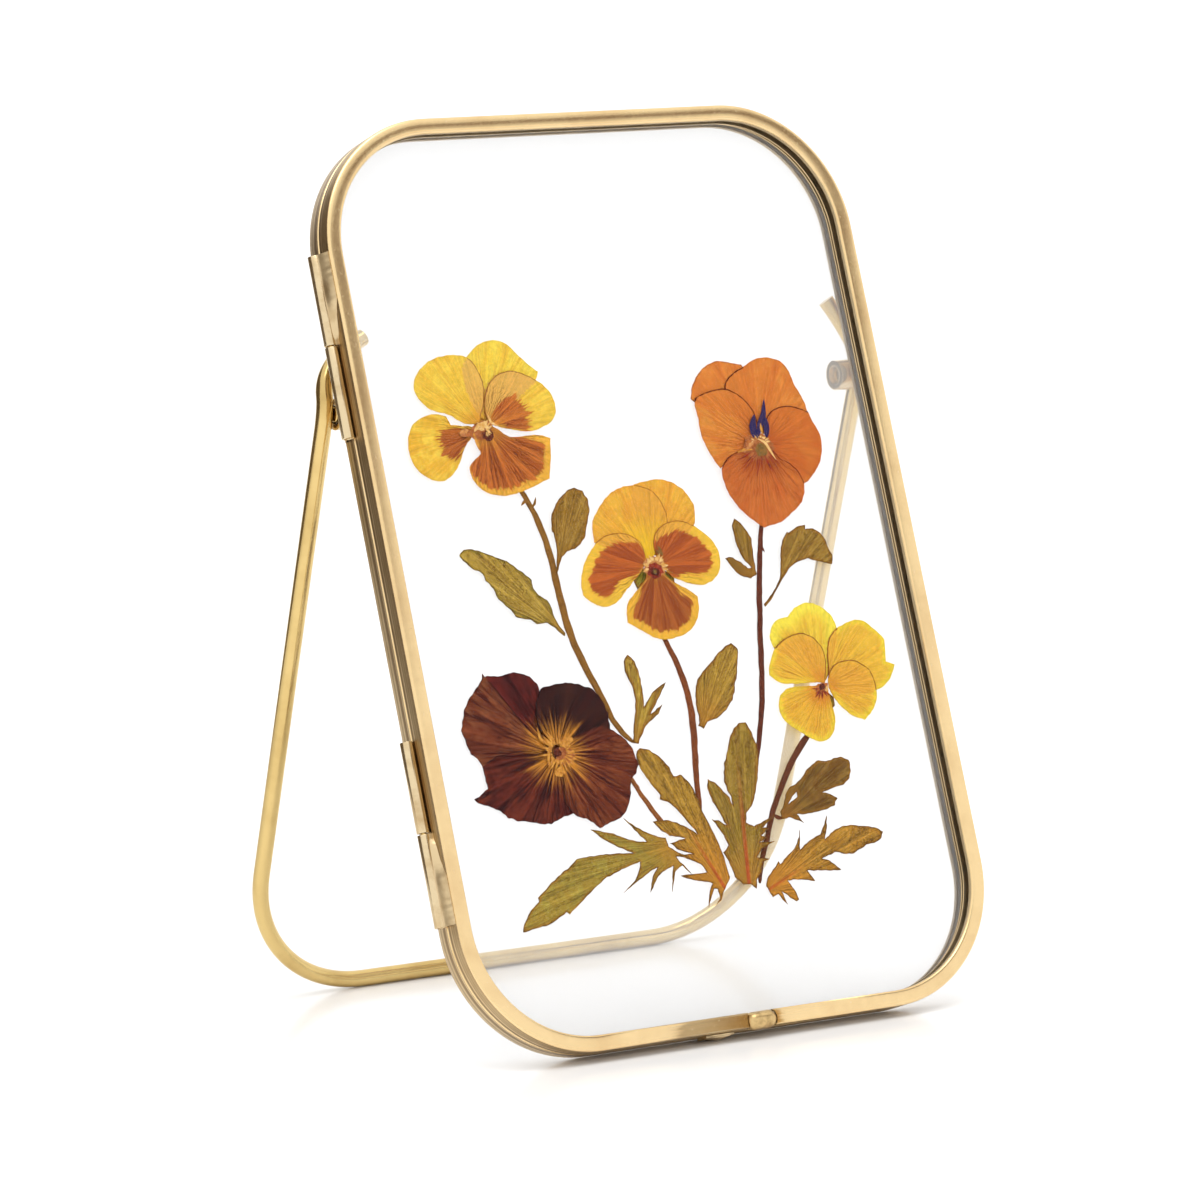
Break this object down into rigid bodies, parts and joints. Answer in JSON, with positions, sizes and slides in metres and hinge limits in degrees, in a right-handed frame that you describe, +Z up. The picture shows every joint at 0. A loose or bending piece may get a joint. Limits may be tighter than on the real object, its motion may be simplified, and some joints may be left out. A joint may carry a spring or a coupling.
{
  "type": "pressed flower frame",
  "caption": "Small brass picture stand: two hinged glass panes in rounded brass rings hold pressed violas and leaves, leaning on a folding wire support.",
  "frame": {"origin": "on the surface it stands on, under the middle of the whole object", "axes": "+Z up, +X to the right seen from the front, the front faces -Y"},
  "size_m": [0.1224, 0.0912, 0.1707],
  "materials": {
    "ring_brass": "satin",
    "wire_brass": "polished",
    "glass": "clear, polished",
    "petal_yellow": "dry, matte",
    "petal_orange": "dry, matte",
    "petal_bicolour": "dry, matte",
    "petal_maroon": "dry, matte",
    "petal_golden": "dry, matte",
    "sepal": "dry, matte",
    "stem": "dry, matte",
    "leaf": "dry, matte"
  },
  "bodies": {
    "back_half": {"back_frame": "ring_brass", "back_glass": "glass", "stand_barrel_left": "ring_brass", "stand_barrel_right": "ring_brass", "catch_tab": "ring_brass", "hinge_knuckle_upper_back": "ring_brass", "hinge_knuckle_lower_back": "ring_brass", "hinge_pin_upper": "wire_brass", "hinge_pin_lower": "wire_brass", "yellow_viola_petal_upper_left": "petal_yellow", "yellow_viola_petal_upper_right": "petal_yellow", "yellow_viola_petal_side_left": "petal_yellow", "yellow_viola_petal_side_right": "petal_yellow", "yellow_viola_petal_lower": "petal_yellow", "orange_viola_petal_upper_left": "petal_orange", "orange_viola_petal_upper_right": "petal_orange", "orange_viola_petal_side_left": "petal_orange", "orange_viola_petal_side_right": "petal_orange", "orange_viola_petal_lower": "petal_orange", "bicolour_viola_petal_upper_left": "petal_bicolour", "bicolour_viola_petal_upper_right": "petal_bicolour", "bicolour_viola_petal_side_left": "petal_bicolour", "bicolour_viola_petal_side_right": "petal_bicolour", "bicolour_viola_petal_lower": "petal_bicolour", "maroon_viola_petal_upper_left": "petal_maroon", "maroon_viola_petal_upper_middle": "petal_maroon", "maroon_viola_petal_upper_right": "petal_maroon", "maroon_viola_petal_lower_right": "petal_maroon", "maroon_viola_petal_lower_left": "petal_maroon", "golden_viola_petal_upper": "petal_golden", "golden_viola_petal_side_left": "petal_golden", "golden_viola_petal_upper_right": "petal_golden", "golden_viola_petal_lower_right": "petal_golden", "golden_viola_petal_lower": "petal_golden", "bicolour_viola_sepals": "sepal", "golden_viola_sepals": "sepal", "yellow_viola_stem": "stem", "orange_viola_stem": "stem", "bicolour_viola_stem": "stem", "maroon_viola_stem": "stem", "golden_viola_stem": "stem", "leaf_toothed_left": "leaf", "leaf_oval_right": "leaf", "leaf_three_fingered": "leaf", "leaf_oval_middle": "leaf", "leaf_lobed_crown_left": "leaf", "leaf_lobed_crown_middle": "leaf", "leaf_lobed_long_left": "leaf", "leaf_lobed_right": "leaf", "leaf_paired_right": "leaf", "leaf_paired_left": "leaf", "leaf_fan_right": "leaf"},
    "front_half": {"front_frame": "ring_brass", "front_glass": "glass", "catch_bead": "ring_brass", "hinge_knuckle_upper_front": "ring_brass", "hinge_knuckle_lower_front": "ring_brass"},
    "stand": {"stand_wire": "wire_brass", "stand_pin_left": "wire_brass", "stand_pin_right": "wire_brass"}
  },
  "joints": [
    {"name": "frame_open", "type": "hinge", "parent": "back_half", "child": "front_half", "pos_m": [-0.0595, -0.01225, 0.08629], "axis": [0, -0.3241, -0.946], "range_deg": [0, 170]},
    {"name": "stand_fold", "type": "hinge", "parent": "back_half", "child": "stand", "pos_m": [0, 0.00559, 0.11707], "axis": [-1, 0, 0], "range_deg": [0, 37]}
  ]
}
